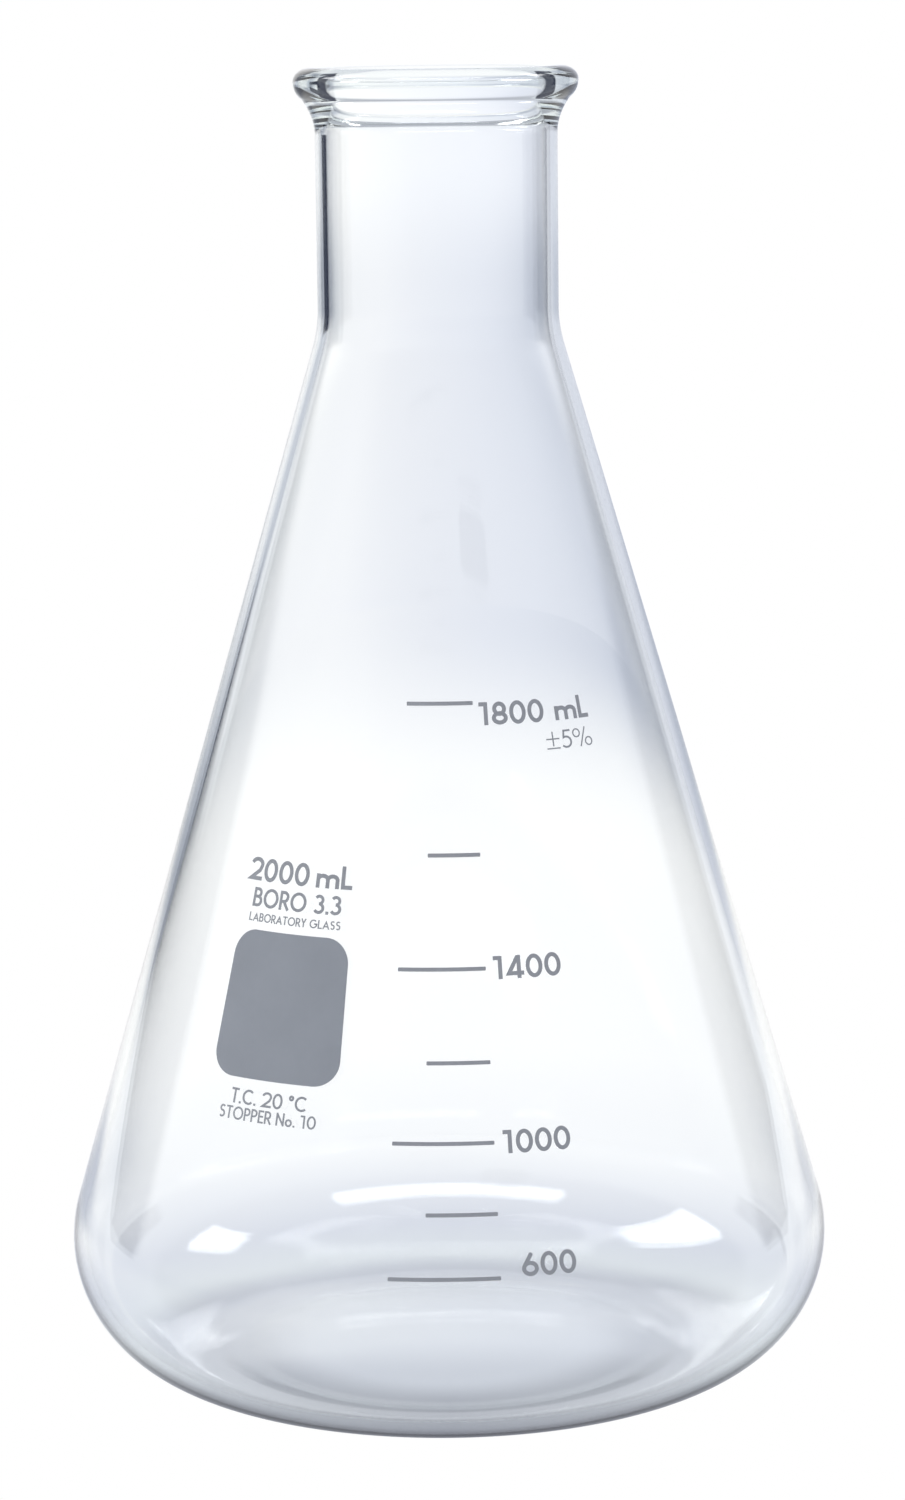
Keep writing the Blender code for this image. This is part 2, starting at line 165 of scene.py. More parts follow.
def turned_mesh(name, inside, outside, wave):
    """Mesh of a profile turned about Z. wave(angle, z) shifts the inside's radius."""
    mesh = bmesh.new()
    rings = []
    for place, (r, z) in enumerate(inside + outside):
        if r < 1e-9:
            rings.append([mesh.verts.new((0.0, 0.0, z))])
            continue
        ring = []
        for step in range(around):
            angle = math.tau * step / around
            radius = r + (wave(angle, z) if place < len(inside) else 0.0)
            ring.append(mesh.verts.new((radius * math.cos(angle), radius * math.sin(angle), z)))
        rings.append(ring)
    for lower, upper in zip(rings, rings[1:]):
        for step in range(around):
            after = (step + 1) % around
            corners = [upper[step % len(upper)], upper[after % len(upper)]]
            corners += [lower[after % len(lower)], lower[step % len(lower)]]
            unique = list(dict.fromkeys(corners))
            mesh.faces.new(unique).smooth = True
    bmesh.ops.recalc_face_normals(mesh, faces=mesh.faces)
    result = bpy.data.meshes.new(name)
    mesh.to_mesh(result)
    mesh.free()
    return result


def blown_wave(angle, z):
    """Slow unevenness that blowing leaves on the inner face, fading out at the floor and the bore."""
    spot = Vector((math.cos(angle) * wave_turns, math.sin(angle) * wave_turns, z * wave_per_metre))
    from_floor = (z - still_below) / floor_fade_length
    from_bore = (height - still_above_depth - z) / bore_fade_length
    fade = min(1.0, max(0.0, from_floor), max(0.0, from_bore))
    return wave_depth * noise.noise(spot) * fade


def add_node(tree, kind, **values):
    """A shader node with its properties or inputs set by name."""
    node = tree.nodes.new(kind)
    for name, value in values.items():
        if name in node.bl_rna.properties:
            setattr(node, name, value)
        else:
            node.inputs[name.replace("_", " ")].default_value = value
    return node


def glass_material():
    """Clear glass, greenish through its depth, with a faint film of handling on the surface."""
    material = bpy.data.materials.new("borosilicate_glass")
    material.use_nodes = True
    tree = material.node_tree
    shader = tree.nodes["Principled BSDF"]
    shader.inputs["Base Color"].default_value = (1.0, 1.0, 1.0, 1.0)
    shader.inputs["Transmission Weight"].default_value = 1.0
    shader.inputs["IOR"].default_value = glass_ior
    place = add_node(tree, "ShaderNodeTexCoord")
    film = add_node(tree, "ShaderNodeTexNoise", Scale=38.0, Detail=3.0, Roughness=0.6)
    tree.links.new(place.outputs["Object"], film.inputs["Vector"])
    haze = add_node(tree, "ShaderNodeMapRange")
    haze.inputs["From Min"].default_value = 0.45
    haze.inputs["From Max"].default_value = 0.80
    haze.inputs["To Min"].default_value = 0.0
    haze.inputs["To Max"].default_value = haze_roughness
    tree.links.new(film.outputs["Fac"], haze.inputs["Value"])
    tree.links.new(haze.outputs["Result"], shader.inputs["Roughness"])
    tint = add_node(tree, "ShaderNodeVolumeAbsorption")
    tint.inputs["Color"].default_value = (*glass_tint, 1.0)
    tint.inputs["Density"].default_value = tint_density
    tree.links.new(tint.outputs["Volume"], tree.nodes["Material Output"].inputs["Volume"])
    return material


glass = bpy.data.objects.new(
    "glass_body", turned_mesh("glass_body", inner_side(), lip_side() + outer_side(), blown_wave)
)
bpy.context.scene.collection.objects.link(glass)
glass.data.materials.append(glass_material())
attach(glass, "root")
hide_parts("flask_body")


# Scale lines and marking spot
# Grey enamel screened onto the cone and fired until it fuses to the glass, a few hundredths of a millimetre
# thick. The lines of the scale have a satin face; the spot for notes is matt, with the fine tooth that a
# pencil needs.

print_gap = 0.05 * MM
print_thickness = 0.05 * MM
scale_right = math.radians(7.4)
long_line_left = math.radians(-9.0)
short_line_left = math.radians(-3.55)
line_width = 0.8 * MM
line_corner = 0.12 * MM
line_squares = (30, 2)
line_drop = 0.1 * MM
scale_volumes = ("0600", "0800", "1000", "1200", "1400", "1600", "1800")
numbered = ("0600", "1000", "1400", "1800")
label_centre = math.radians(-31.5)
spot_half_turn = math.radians(12.85)
spot_corner = 5.3 * MM
spot_squares = (64, 24)


def on_cone(x, y, lift, line_angle, line_z):
    """Point of flat artwork wrapped around the cone: x runs round it, y up its slope, lift off it."""
    angle = line_angle + x / cone_radius(line_z)
    z = line_z + y * math.cos(cone_angle)
    r = cone_radius(z) + lift * math.cos(cone_angle)
    return Vector((r * math.sin(angle), -r * math.cos(angle), z + lift * math.sin(cone_angle)))


def enamel_material(name, colour, roughness, tooth, mottle_scale, mottle):
    """Fired enamel: pigment that lies a little unevenly, and a fine pebbled skin."""
    material = bpy.data.materials.new(name)
    material.use_nodes = True
    tree = material.node_tree
    shader = tree.nodes["Principled BSDF"]
    shader.inputs["Roughness"].default_value = roughness
    shader.inputs["IOR"].default_value = 1.52
    place = add_node(tree, "ShaderNodeTexCoord")
    cloud = add_node(tree, "ShaderNodeTexNoise", Scale=mottle_scale, Detail=5.0, Roughness=0.65)
    tree.links.new(place.outputs["Object"], cloud.inputs["Vector"])
    pigment = add_node(tree, "ShaderNodeValToRGB")
    dark, light = pigment.color_ramp.elements
    dark.position, light.position = 0.3, 0.7
    dark.color = (*[part * (1 - mottle) for part in colour], 1.0)
    light.color = (*[part * (1 + mottle) for part in colour], 1.0)
    tree.links.new(cloud.outputs["Fac"], pigment.inputs["Fac"])
    tree.links.new(pigment.outputs["Color"], shader.inputs["Base Color"])
    grain = add_node(tree, "ShaderNodeTexNoise", Scale=9000.0, Detail=2.0)
    tree.links.new(place.outputs["Object"], grain.inputs["Vector"])
    bump = add_node(tree, "ShaderNodeBump", Strength=tooth, Distance=0.01 * MM)
    tree.links.new(grain.outputs["Fac"], bump.inputs["Height"])
    tree.links.new(bump.outputs["Normal"], shader.inputs["Normal"])
    return material


def finish_print(name, mesh, material, node=None):
    """Adds one print to the flask, and hides the CAD node that it stands for."""
    piece = bpy.data.objects.new(name, mesh)
    bpy.context.scene.collection.objects.link(piece)
    mesh.materials.clear()
    mesh.materials.append(material)
    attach(piece, "root")
    if node:
        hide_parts(node)


def patch_mesh(name, width, tall, corner, squares, line_angle, line_z):
    """A film with rounded corners, wrapped around the cone and centred on a point of it."""
    mesh = bmesh.new()
    columns, rows = squares
    sheet = []
    for lift in (print_gap, print_gap + print_thickness):
        layer = []
        for i in range(columns + 1):
            x = width / 2 * math.sin((2 * i / columns - 1) * math.pi / 2)
            past = max(0.0, abs(x) - (width / 2 - corner))
            drop = corner - math.sqrt(max(0.0, corner**2 - past**2))
            column = []
            for j in range(rows + 1):
                y = (2 * j / rows - 1) * (tall / 2 - drop)
                column.append(mesh.verts.new(on_cone(x, y, lift, line_angle, line_z)))
            layer.append(column)
        sheet.append(layer)
    inner, outer = sheet
    for i in range(columns):
        for j in range(rows):
            for layer in sheet:
                square = (layer[i][j], layer[i + 1][j], layer[i + 1][j + 1], layer[i][j + 1])
                mesh.faces.new(square)
        for j in (0, rows):
            mesh.faces.new((inner[i][j], inner[i + 1][j], outer[i + 1][j], outer[i][j]))
    for i in (0, columns):
        for j in range(rows):
            mesh.faces.new((inner[i][j], inner[i][j + 1], outer[i][j + 1], outer[i][j]))
    bmesh.ops.recalc_face_normals(mesh, faces=mesh.faces)
    result = bpy.data.meshes.new(name)
    mesh.to_mesh(result)
    mesh.free()
    result.shade_smooth()
    result.set_sharp_from_angle(angle=math.radians(40))
    return result


def height_of(node):
    """Middle height of a CAD node."""
    low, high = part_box(node)
    return (low.z + high.z) / 2


graduation_enamel = enamel_material(
    "graduation_enamel", (0.21, 0.22, 0.24), roughness=0.4, tooth=0.25, mottle_scale=260.0, mottle=0.05
)
for volume in scale_volumes:
    node = f"graduation_{volume}_ml"
    left = long_line_left if volume in numbered else short_line_left
    line_z = height_of(node) - line_drop
    length = (scale_right - left) * cone_radius(line_z)
    middle = (left + scale_right) / 2
    mesh = patch_mesh(f"line_{volume}_ml", length, line_width, line_corner, line_squares, middle, line_z)
    finish_print(mesh.name, mesh, graduation_enamel, node)

spot_low, spot_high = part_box("marking_spot")
spot_middle = height_of("marking_spot")
spot_width = 2 * spot_half_turn * cone_radius(spot_middle)
spot_tall = (spot_high.z - spot_low.z) / math.cos(cone_angle)
matt_enamel = enamel_material(
    "marking_spot_enamel", (0.20, 0.215, 0.24), roughness=0.75, tooth=0.9, mottle_scale=90.0, mottle=0.04
)
spot_mesh = patch_mesh(
    "spot_film", spot_width, spot_tall, spot_corner, spot_squares, label_centre, spot_middle
)
finish_print("spot_film", spot_mesh, matt_enamel, "marking_spot")


# Lettering
# The same enamel, in an even-stroke engraver's face. Each character is drawn as centrelines that are given
# their width, united where they cross, and laid on the cone. Figures and units are bold, and the tolerance
# is light.

letter_height = 4.6 * MM
bold = 0.82 * MM
letter_space = 0.09
space_after_one = 0.17
word_space = 0.36
numeral_start = math.radians(8.8)
short_numeral_indent = 0.0305
scale_unit_start = math.radians(28.5)
tolerance_start = math.radians(25.2)
tolerance_height = 3.7 * MM
tolerance_stroke = 0.40 * MM
fine = tolerance_stroke * 0.7
letter_enamel = enamel_material(
    "lettering_enamel", (0.21, 0.22, 0.24), roughness=0.4, tooth=0.25, mottle_scale=260.0, mottle=0.05
)


def arc(centre_x, centre_y, radius_x, radius_y, start, end, count):
    """Points on an ellipse's arc, angles in degrees."""
    points = []
    for angle in spread(start, end, count):
        turn = math.radians(angle)
        points.append((centre_x + radius_x * math.cos(turn), centre_y + radius_y * math.sin(turn)))
    return points


def oval(left, right, bottom, top):
    """Closed centreline of an oval inside a box."""
    centre_x = (left + right) / 2
    centre_y = (bottom + top) / 2
    return arc(centre_x, centre_y, (right - left) / 2, (top - bottom) / 2, 0, 360, 57)[:-1]


def bowl(left, bottom, top, right):
    """Centreline of a letter's closed bowl on a stem at left."""
    radius = (top - bottom) / 2
    return [(left, bottom), (left, top)] + arc(right - radius, bottom + radius, radius, radius, 90, -90, 21)


def glyph_strokes(glyph, half):
    """Strokes of one character as [(points, closed)], with cap height 1 and half a stroke's width given."""
    top = 1 - half
    middle = 0.53
    upper = (middle + top) / 2
    lower = (middle + half) / 2
    shapes = {
        "0": [(oval(half, 0.755 - half, half - 0.01, top + 0.01), True)],
        "1": [([(0.0, top), (0.39 - half, top), (0.39 - half, 0.0)], False)],
        "2": [
            (
                arc(0.385, 0.70, 0.385 - half, 0.31 - half, 168, -20, 30)
                + [(0.60, 0.46), (half * 1.6, half), (0.76, half)],
                False,
            )
        ],
        "3": [
            (arc(0.29, upper, 0.29 - half, (top - middle) / 2, 150, -90, 24), False),
            (arc(0.29, lower, 0.33 - half, (middle - half) / 2, 90, -150, 24), False),
        ],
        "4": [
            ([(0.79, 0.225), (half * 1.3, 0.225), (0.53, 1.0 - half * 0.6)], False),
            ([(0.57, 1.0), (0.57, 0.0)], False),
        ],
        "5": [
            (
                [(0.60, top), (0.20, top)] + arc(0.29, 0.335, 0.36 - half, 0.335 - half, 118, -140, 30),
                False,
            )
        ],
        "6": [
            (oval(half, 0.735 - half, half, 0.65 - half), True),
            ([(half + 0.045, 0.46), (0.45, 1.0 - half * 0.2)], False),
        ],
        "8": [
            (oval(half, 0.71 - half, half, 0.58 - half), True),
            (oval(half + 0.045, 0.665 - half, 0.58 - half * 1.3, top), True),
        ],
        "A": [
            ([(0.05, 0.0), (0.42, 1.0 - half * 2.4), (0.79, 0.0)], False),
            ([(0.20, 0.30), (0.64, 0.30)], False),
        ],
        "B": [(bowl(half, middle, top, 0.56 - half), True), (bowl(half, half, middle, 0.62 - half), True)],
        "C": [(arc(0.50, 0.50, 0.50 - half, 0.50 - half, 48, 312, 44), False)],
        "E": [
            ([(0.50, top), (half, top), (half, half), (0.50, half)], False),
            ([(half, 0.52), (0.46, 0.52)], False),
        ],
        "G": [(arc(0.50, 0.50, 0.50 - half, 0.50 - half, 48, 360, 50) + [(0.56, 0.50)], False)],
        "L": [([(half, 1.0), (half, half), (0.52, half)], False)],
        "N": [
            ([(half, 0.0), (half, 1.0)], False),
            ([(0.72 - half, 0.0), (0.72 - half, 1.0)], False),
            ([(half, 1.0 - half), (0.72 - half, half)], False),
        ],
        "O": [(oval(half, 0.98 - half, half - 0.01, top + 0.01), True)],
        "P": [(bowl(half, 0.45, top, 0.58 - half), True), ([(half, 0.50), (half, 0.0)], False)],
        "R": [
            (bowl(half, 0.45, top, 0.58 - half), True),
            ([(half, 0.50), (half, 0.0)], False),
            ([(0.28, 0.46), (0.58, 0.0)], False),
        ],
        "S": [
            (
                arc(0.31, upper, 0.28 - half, (top - middle) / 2, 38, 270, 24)
                + arc(0.29, lower, 0.29 - half, (middle - half) / 2, 90, -142, 24)[1:],
                False,
            )
        ],
        "T": [([(0.0, top), (0.62, top)], False), ([(0.31, top), (0.31, 0.0)], False)],
        "Y": [
            ([(half, 1.0), (0.35, 0.46), (0.70 - half, 1.0)], False),
            ([(0.35, 0.48), (0.35, 0.0)], False),
        ],
        "m": [
            ([(half, 0.0), (half, 0.62)], False),
            (arc(half / 2 + 0.28, 0.36, 0.28 - half / 2, 0.26 - half, 180, 0, 24) + [(0.56, 0.0)], False),
            (
                arc(0.835 - half / 2, 0.36, 0.275 - half / 2, 0.26 - half, 180, 0, 24)
                + [(1.11 - half, 0.0)],
                False,
            ),
        ],
        "o": [(oval(half, 0.60 - half, half, 0.60 - half), True)],
        ".": [([(0.0, 0.08), (0.16, 0.08)], False)],
        "degree": [(oval(half, 0.38 - half, 0.62 + half, top), True)],
        "plus": [([(0.0, 0.55), (0.80, 0.55)], False), ([(0.40, 0.95), (0.40, 0.15)], False)],
        "bar": [([(0.0, 0.0), (0.80, 0.0)], False)],
        "ring": [(oval(half, 0.50 - half, half, 0.50 - half), True)],
        "slash": [([(0.0, 0.0), (0.42, 1.04)], False)],
    }
    return shapes[glyph]


glyph_widths = {
    "0": 0.755, "1": 0.39, "2": 0.76, "3": 0.62, "4": 0.79, "6": 0.735, "8": 0.71,
    "A": 0.84, "B": 0.62, "C": 0.86, "E": 0.50, "G": 0.98, "L": 0.52, "N": 0.72, "O": 0.98,
    "P": 0.58, "R": 0.60, "S": 0.60, "T": 0.62, "Y": 0.70,
    "m": 1.11, "o": 0.60, ".": 0.16, "degree": 0.38, " ": word_space - letter_space,
}


def stroke_edges(points, width, closed):
    """Closed outlines of a stroke of even width, with mitred corners."""
    left, right = [], []
    count = len(points)
    for i, point in enumerate(points):
        here = Vector(point)
        before = Vector(points[i - 1]) if closed or i else None
        after = Vector(points[(i + 1) % count]) if closed or i < count - 1 else None
        back = (here - before).normalized() if before is not None else None
        ahead = (after - here).normalized() if after is not None else None
        direction = ((back or ahead) + (ahead or back)).normalized()
        normal = Vector((-direction.y, direction.x))
        mitre = 1.0 / normal.dot(Vector((-(back or ahead).y, (back or ahead).x)))
        left.append(here + normal * width / 2 * mitre)
        right.append(here - normal * width / 2 * mitre)
    return [left, right] if closed else [left + right[::-1]]


def evaluated_mesh(holder):
    """The object's mesh with its modifiers applied."""
    bpy.context.scene.collection.objects.link(holder)
    bpy.context.view_layer.update()
    graph = bpy.context.evaluated_depsgraph_get()
    mesh = bpy.data.meshes.new_from_object(holder.evaluated_get(graph))
    bpy.context.scene.collection.objects.unlink(holder)
    return mesh


def plate(outlines, thickness):
    """Mesh of a flat outline cut from a sheet, in millimetres, by way of a filled 2D curve."""
    curve = bpy.data.curves.new("outline", "CURVE")
    curve.dimensions = "2D"
    curve.fill_mode = "BOTH"
    curve.extrude = thickness / 2
    for outline in outlines:
        spline = curve.splines.new("POLY")
        spline.points.add(len(outline) - 1)
        for point, spot in zip(spline.points, outline):
            point.co = (spot[0], spot[1], 0.0, 1.0)
        spline.use_cyclic_u = True
    holder = bpy.data.objects.new("outline", curve)
    mesh = evaluated_mesh(holder)
    bpy.data.objects.remove(holder)
    bpy.data.curves.remove(curve)
    shape = bmesh.new()
    shape.from_mesh(mesh)
    bmesh.ops.remove_doubles(shape, verts=shape.verts, dist=0.0005)
    bmesh.ops.recalc_face_normals(shape, faces=shape.faces)
    shape.to_mesh(mesh)
    shape.free()
    return mesh


def joined(meshes):
    """One mesh from strokes that cross, by a Boolean union."""
    holder = bpy.data.objects.new("strokes", meshes[0])
    others = []
    for mesh in meshes[1:]:
        other = bpy.data.objects.new("stroke", mesh)
        bpy.context.scene.collection.objects.link(other)
        union = holder.modifiers.new("union", "BOOLEAN")
        union.operation = "UNION"
        union.solver = "EXACT"
        union.object = other
        others.append(other)
    mesh = evaluated_mesh(holder)
    for unused in [holder, *others]:
        bpy.data.objects.remove(unused)
    return mesh


def glyph_mesh(glyph, tall, stroke, x, y, line_angle, line_z):
    """One character laid on the cone, as a mesh."""
    half = stroke / tall / 2
    plates = []
    for points, closed in glyph_strokes(glyph, half):
        placed = [((x + px * tall) / MM, (y + py * tall) / MM) for px, py in points]
        plates.append(plate(stroke_edges(placed, stroke / MM, closed), print_thickness / MM))
    mesh = joined(plates)
    for vertex in mesh.vertices:
        lift = print_gap + print_thickness / 2 + vertex.co.z * MM
        vertex.co = on_cone(vertex.co.x * MM, vertex.co.y * MM, lift, line_angle, line_z)
    return mesh


def advance(glyph):
    """How far the next character starts from this one, as a share of the cap height."""
    return glyph_widths[glyph] + (space_after_one if glyph == "1" else letter_space)


def run_width(glyphs, tall):
    """Length of a run of characters."""
    return (sum(advance(glyph) for glyph in glyphs) - letter_space) * tall


def print_run(prefix, glyphs, tall, stroke, line_angle, line_z):
    """Characters of a run, each standing for its own CAD node."""
    x = 0.0
    for place, glyph in enumerate(glyphs, start=1):
        node = f"{prefix}_{place}_{glyph}"
        mesh = glyph_mesh(glyph, tall, stroke, x, 0.0, line_angle, line_z)
        finish_print(f"ink_{node}", mesh, letter_enamel, node)
        x += advance(glyph) * tall


def foot_of(node):
    """Height of a CAD node's lowest point."""
    low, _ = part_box(node)
    return low.z


for volume in numbered:
    figures = volume.lstrip("0")
    start = numeral_start + (short_numeral_indent if len(figures) == 3 else 0.0)
    foot = foot_of(f"numeral_{volume}_1_{figures[0]}")
    print_run(f"numeral_{volume}", figures, letter_height, bold, start, foot)
    if volume == "1800":
        print_run("unit_scale", "mL", letter_height, bold, scale_unit_start, foot)

tolerance_foot = foot_of("tolerance_percent_slash")
# each piece's name, glyph, place across and up as shares of the sign's height, and stroke width
tolerance_pieces = (
    ("plus", "plus", 0.0, 0.0, fine),
    ("bar", "bar", 0.0, 0.04, fine),
    ("five", "5", 0.92, 0.0, tolerance_stroke),
    ("percent_upper_ring", "ring", 1.67, 0.50, fine),
    ("percent_slash", "slash", 2.11, 0.0, fine),
    ("percent_lower_ring", "ring", 2.42, 0.0, fine),
)
for name, glyph, x, y, stroke in tolerance_pieces:
    x *= tolerance_height
    y *= tolerance_height
    mesh = glyph_mesh(glyph, tolerance_height, stroke, x, y, tolerance_start, tolerance_foot)
    finish_print(f"ink_tolerance_{name}", mesh, letter_enamel, f"tolerance_{name}")

capacity_foot = foot_of("unit_capacity_2_L")
capacity_width = run_width("2000 mL", letter_height)
capacity_start = label_centre - capacity_width / 2 / cone_radius(capacity_foot)
unit_shift = (run_width("2000", letter_height) + word_space * letter_height) / cone_radius(capacity_foot)
print_run("capacity", "2000", letter_height, bold, capacity_start, capacity_foot)
print_run("unit_capacity", "mL", letter_height, bold, capacity_start + unit_shift, capacity_foot)


# Small print
# Fine lines of the same enamel above and below the marking spot: the kind of glass, the temperature that the
# scale holds at, and the stopper size. They are one film each, too fine for solids of their own.

# each line's name, characters, cap height, stroke width and foot height, the last three in millimetres
small_lines = (
    ("boro", tuple("BORO 3.3"), 3.85, 0.62, 107.8),
    ("laboratory", tuple("LABORATORY GLASS"), 1.75, 0.27, 105.0),
    ("temperature", (*"T.C. 20 ", "degree", "C"), 3.05, 0.46, 70.1),
    ("stopper", tuple("STOPPER No. 10"), 2.60, 0.38, 67.0),
)
for name, glyphs, tall_mm, stroke_mm, foot_mm in small_lines:
    tall, stroke, foot = tall_mm * MM, stroke_mm * MM, foot_mm * MM
    start = label_centre - run_width(glyphs, tall) / 2 / cone_radius(foot)
    line = bmesh.new()
    x = 0.0
    for glyph in glyphs:
        if glyph != " ":
            line.from_mesh(glyph_mesh(glyph, tall, stroke, x, 0.0, start, foot))
        x += advance(glyph) * tall
    mesh = bpy.data.meshes.new(f"ink_{name}")
    line.to_mesh(mesh)
    line.free()
    finish_print(f"ink_{name}", mesh, letter_enamel)


# Studio
# A white table before a white backdrop. The table is evenly white to the camera; to the glass it glows, with
# painted shadow, painted shade and painted glow. The glass picks up what stands round it: black flags at
# both sides of the backdrop, greyer walls to the right and behind the camera, two grey patches of painted
# shade on the table, painted shade for what the flask and the room lay on the table, a bank of light above
# the camera and a softbox on each side.

def shade_ramp(tree, value, stops):
    """Colour along a value, from (place, colour) stops."""
    ramp = add_node(tree, "ShaderNodeValToRGB")
    elements = ramp.color_ramp.elements
    elements.remove(elements[1])
    for index, (place, colour) in enumerate(stops):
        stop = elements.new(place) if index else elements[0]
        stop.position = place
        stop.color = (*colour, 1.0)
    tree.links.new(value, ramp.inputs["Fac"])
    return ramp.outputs["Color"]


def bearing_of(tree, x, y):
    """Compass bearing in radians, with the backdrop at 0 and the camera at 180 degrees."""
    bearing = add_node(tree, "ShaderNodeMath", operation="ARCTAN2")
    tree.links.new(x, bearing.inputs[0])
    tree.links.new(y, bearing.inputs[1])
    return bearing.outputs[0]


def ring_of_walls(tree, bearing, stops):
    """Colour of the walls by bearing, from (degrees, colour) stops."""
    turn = add_node(tree, "ShaderNodeMapRange")
    turn.inputs["From Min"].default_value = -math.pi
    turn.inputs["From Max"].default_value = math.pi
    tree.links.new(bearing, turn.inputs["Value"])
    around_ring = [(degrees / 360 + 0.5, colour) for degrees, colour in stops]
    return shade_ramp(tree, turn.outputs["Result"], around_ring)


def mixed(tree, share, first, second):
    """Blend of two colours. Each is a socket or a plain colour."""
    mix = add_node(tree, "ShaderNodeMix", data_type="RGBA")
    tree.links.new(share, mix.inputs["Factor"])
    for name, colour in (("A", first), ("B", second)):
        if isinstance(colour, tuple):
            mix.inputs[name].default_value = (*colour, 1.0)
        else:
            tree.links.new(colour, mix.inputs[name])
    return mix.outputs["Result"]


def combined(tree, operation, first, second):
    """Two colours added or multiplied, channel by channel."""
    node = add_node(tree, "ShaderNodeVectorMath", operation=operation)
    tree.links.new(first, node.inputs[0])
    tree.links.new(second, node.inputs[1])
    return node.outputs["Vector"]


def eased(tree, value, low, high):
    """0 below low, 1 above high, eased between."""
    ease = add_node(tree, "ShaderNodeMapRange", interpolation_type="SMOOTHSTEP")
    ease.inputs["From Min"].default_value = low
    ease.inputs["From Max"].default_value = high
    tree.links.new(value, ease.inputs["Value"])
    return ease.outputs["Result"]


def product(tree, first, second):
    """Product of two values. Each is a socket or a plain number."""
    times = add_node(tree, "ShaderNodeMath", operation="MULTIPLY")
    for side, value in enumerate((first, second)):
        if isinstance(value, float):
            times.inputs[side].default_value = value
        else:
            tree.links.new(value, times.inputs[side])
    return times.outputs[0]


def window(tree, value, low, high, soft):
    """1 where the value lies between low and high, with soft edges."""
    rise = eased(tree, value, low - soft, low + soft)
    fall = add_node(tree, "ShaderNodeMapRange", interpolation_type="SMOOTHSTEP")
    fall.inputs["From Min"].default_value = high - soft
    fall.inputs["From Max"].default_value = high + soft
    fall.inputs["To Min"].default_value = 1.0
    fall.inputs["To Max"].default_value = 0.0
    tree.links.new(value, fall.inputs["Value"])
    return product(tree, rise, fall.outputs["Result"])


def panel(tree, bearing, rise, centre, half_width, low, high, soft=1.5):
    """1 inside a panel that fills these bearings and heights, all in degrees."""
    offset = add_node(tree, "ShaderNodeMath", operation="SUBTRACT")
    offset.inputs[1].default_value = math.radians(centre)
    tree.links.new(bearing, offset.inputs[0])
    wrapped = add_node(tree, "ShaderNodeMath", operation="WRAP")
    wrapped.inputs[1].default_value = math.pi
    wrapped.inputs[2].default_value = -math.pi
    tree.links.new(offset.outputs[0], wrapped.inputs[0])
    half = math.radians(half_width)
    across = window(tree, wrapped.outputs[0], -half, half, math.radians(soft))
    low, high = math.sin(math.radians(low)), math.sin(math.radians(high))
    return product(tree, across, window(tree, rise, low, high, math.sin(math.radians(soft))))


# colours by bearing in degrees: far edge of the table, walls, and painted shade on the table close by and
# farther out. On the table, the far edge is painted glow and shade in the colours of the room's low ring
table_edge = (
    (-180, (0.80, 0.83, 0.88)),
    (-110, (0.95, 0.96, 0.98)),
    (-45, (0.80, 0.83, 0.88)),
    (-33, (0.44, 0.47, 0.54)),
    (-24, (0.40, 0.43, 0.50)),
    (-14, (0.82, 0.85, 0.89)),
    (-8, (0.95, 0.96, 0.99)),
    (-3, (0.95, 0.96, 1.00)),
    (2, (0.82, 0.85, 0.94)),
    (8, (0.60, 0.64, 0.75)),
    (12, (0.53, 0.57, 0.67)),
    (20, (0.56, 0.60, 0.70)),
    (28, (0.66, 0.69, 0.78)),
    (40, (0.76, 0.79, 0.85)),
    (110, (0.80, 0.82, 0.88)),
    (180, (0.80, 0.83, 0.88)),
)
walls = (
    (-180, (0.60, 0.63, 0.70)),
    (-140, (0.85, 0.88, 0.92)),
    (-110, (1.05, 1.05, 1.05)),
    (-45, (1.00, 1.01, 1.03)),
    (-34, (0.56, 0.60, 0.68)),
    (-29, (0.52, 0.56, 0.64)),
    (-25.5, (0.80, 0.82, 0.88)),
    (-22, (1.05, 1.06, 1.08)),
    (-8, (1.13, 1.13, 1.13)),
    (1, (1.00, 1.02, 1.08)),
    (8, (0.84, 0.87, 0.97)),
    (16, (0.80, 0.83, 0.92)),
    (28, (0.72, 0.75, 0.84)),
    (45, (0.80, 0.82, 0.88)),
    (110, (0.64, 0.67, 0.74)),
    (180, (0.60, 0.63, 0.70)),
)
painted_near_shade = (
    (-180, (0.56, 0.56, 0.58)),
    (-150, (0.62, 0.62, 0.63)),
    (-100, (0.72, 0.72, 0.74)),
    (-40, (0.92, 0.92, 0.93)),
    (40, (0.90, 0.90, 0.91)),
    (100, (0.74, 0.74, 0.75)),
    (150, (0.64, 0.64, 0.65)),
    (180, (0.56, 0.56, 0.58)),
)
painted_far_shade = (
    (-180, (0.80, 0.82, 0.86)),
    (-62, (0.80, 0.82, 0.86)),
    (-40, (1.00, 1.00, 1.00)),
    (40, (1.00, 1.00, 1.00)),
    (62, (0.80, 0.82, 0.86)),
    (180, (0.80, 0.82, 0.86)),
)
# painted shadow and painted glow of the table by distance from the flask's axis in metres: darker under and
# round the flask, brighter than white farther out
painted_shadow_by_distance = (
    (0.035, (0.68, 0.71, 0.79)),
    (0.060, (0.66, 0.69, 0.77)),
    (0.072, (0.80, 0.84, 0.89)),
    (0.10, (0.74, 0.77, 0.86)),
    (0.14, (0.90, 0.92, 0.98)),
    (0.17, (1.02, 1.03, 1.06)),
    (0.28, (1.10, 1.10, 1.11)),
    (0.80, (1.12, 1.12, 1.12)),
)
near_start = 0.036
near_end = 0.070
near_soft = 0.008
far_start = 0.20
far_full = 0.34
edge_start = 0.6
edge_full = 1.15
